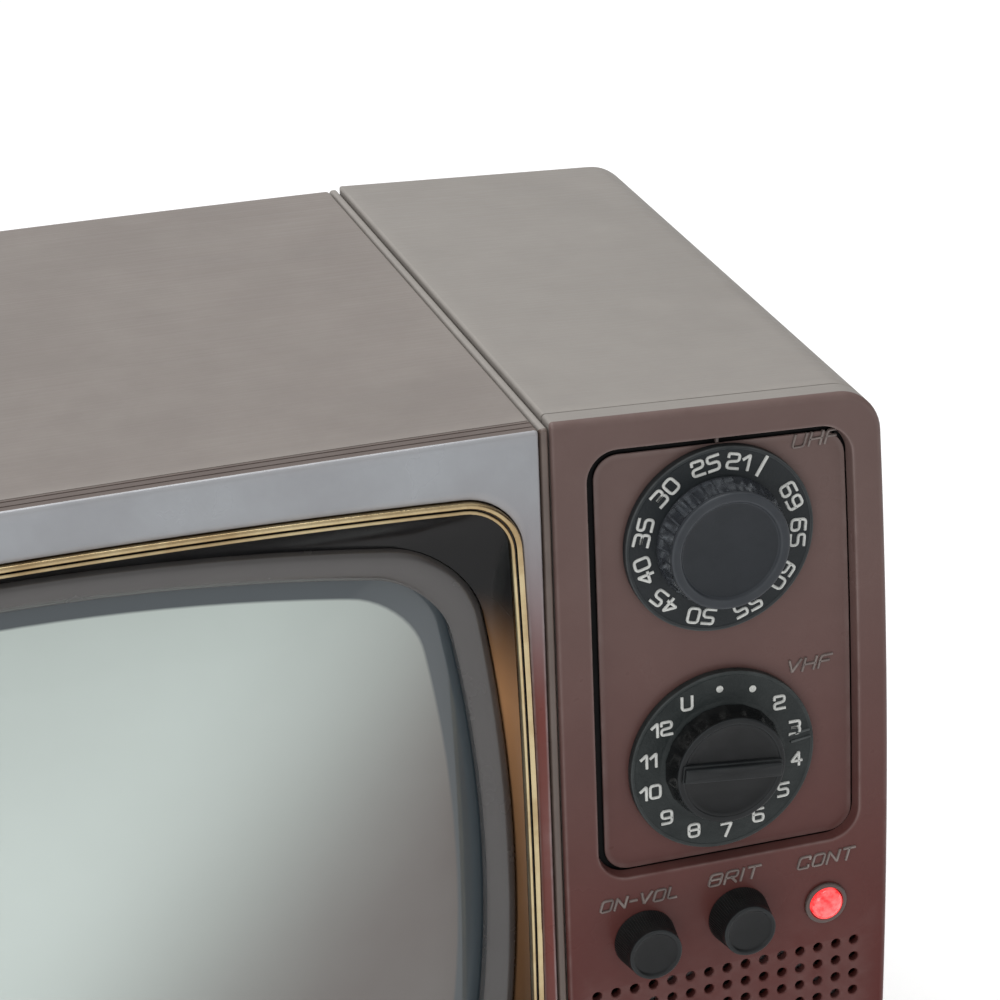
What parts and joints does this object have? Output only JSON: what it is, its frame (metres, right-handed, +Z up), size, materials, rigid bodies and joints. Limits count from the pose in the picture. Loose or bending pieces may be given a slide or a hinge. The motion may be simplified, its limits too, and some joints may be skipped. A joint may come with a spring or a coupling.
{
  "type": "tube television",
  "caption": "Portable tube television: screen section with bowed picture tube beside a control section with two tuning dials, knobs, lamp and loudspeaker grille.",
  "frame": {"origin": "middle of the footprint, on the surface that the feet stand on", "axes": "+Z up, -Y towards the viewer (the screen and dials face -Y), +X to the right as seen from the front"},
  "size_m": [0.3808, 0.2744, 0.2756],
  "materials": {
    "cabinet": "matt grey-brown, fine horizontal texture",
    "front": "satin brown with a slight metallic sheen",
    "gold": "bright",
    "dark_plastic": "dark gloss",
    "surround": "grey-brown gloss",
    "glass": "polished, grey-green picture area",
    "steel": "plated sheet",
    "copper": "enamelled copper wire",
    "board": "bonded paper board",
    "knob": "black",
    "lens": "red, clear",
    "paper": "pressed paper",
    "ferrite": "varnished",
    "rubber": "matt black"
  },
  "bodies": {
    "set": {"aerial_socket": "steel", "brightness_control": "steel", "chassis_tray": "steel", "control_cabinet": "cabinet", "control_panel": "front", "deflection_yoke": "copper", "filter_capacitor": "steel", "foot_1": "rubber", "foot_2": "rubber", "foot_3": "rubber", "foot_4": "rubber", "front_bezel": "front", "gold_trim": "gold", "groove_spine": "dark_plastic", "heat_sink": "steel", "hold_controls": "board", "lamp_bezel": "surround", "lamp_holder": "dark_plastic", "lamp_lens": "lens", "line_transformer": "ferrite", "main_board": "board", "mains_inlet": "dark_plastic", "picture_cabinet": "cabinet", "picture_tube": "glass", "rear_cover": "dark_plastic", "rear_screw_1": "steel", "rear_screw_2": "steel", "rear_screw_3": "steel", "rear_screw_4": "steel", "screen_mask": "dark_plastic", "speaker_cone": "paper", "speaker_frame": "steel", "speaker_magnet": "ferrite", "transformer_coil": "copper", "transformer_core": "ferrite", "tube_band": "steel", "tube_base_board": "board", "tube_screw_1": "steel", "tube_screw_2": "steel", "tube_screw_3": "steel", "tube_screw_4": "steel", "tube_surround": "surround", "tuner_plate": "steel", "uhf_tuner": "steel", "vhf_dial": "knob", "vhf_tuner": "steel", "volume_control": "steel"},
    "uhf_tuning": {"uhf_dial": "knob", "uhf_knob": "knob", "uhf_shaft": "steel"},
    "vhf_tuning": {"vhf_knob": "knob", "vhf_shaft": "steel", "vhf_turret": "steel"},
    "volume": {"volume_knob": "knob", "volume_shaft": "steel"},
    "brightness": {"brightness_knob": "knob", "brightness_shaft": "steel"},
    "vertical_hold": {"vertical_hold_knob": "knob"},
    "horizontal_hold": {"horizontal_hold_knob": "knob"}
  },
  "joints": [
    {"name": "uhf_turn", "type": "hinge", "parent": "set", "child": "uhf_tuning", "pos_m": [0.1415, -0.12765, 0.2345], "axis": [0, 1, 0], "range_deg": [-15, 305]},
    {"name": "vhf_turn", "type": "hinge", "parent": "set", "child": "vhf_tuning", "pos_m": [0.1415, -0.12765, 0.1684], "axis": [0, 1, 0], "continuous": true},
    {"name": "volume_turn", "type": "hinge", "parent": "set", "child": "volume", "pos_m": [0.1173, -0.12765, 0.1185], "axis": [0, 1, 0], "range_deg": [-60, 240]},
    {"name": "brightness_turn", "type": "hinge", "parent": "set", "child": "brightness", "pos_m": [0.1449, -0.12765, 0.1194], "axis": [0, 1, 0], "range_deg": [-150, 150]},
    {"name": "vertical_hold_turn", "type": "hinge", "parent": "set", "child": "vertical_hold", "pos_m": [0.1295, 0.11515, 0.22361], "axis": [0, 1, 0], "range_deg": [-150, 150]},
    {"name": "horizontal_hold_turn", "type": "hinge", "parent": "set", "child": "horizontal_hold", "pos_m": [0.1535, 0.11515, 0.22361], "axis": [0, 1, 0], "range_deg": [-150, 150]}
  ]
}
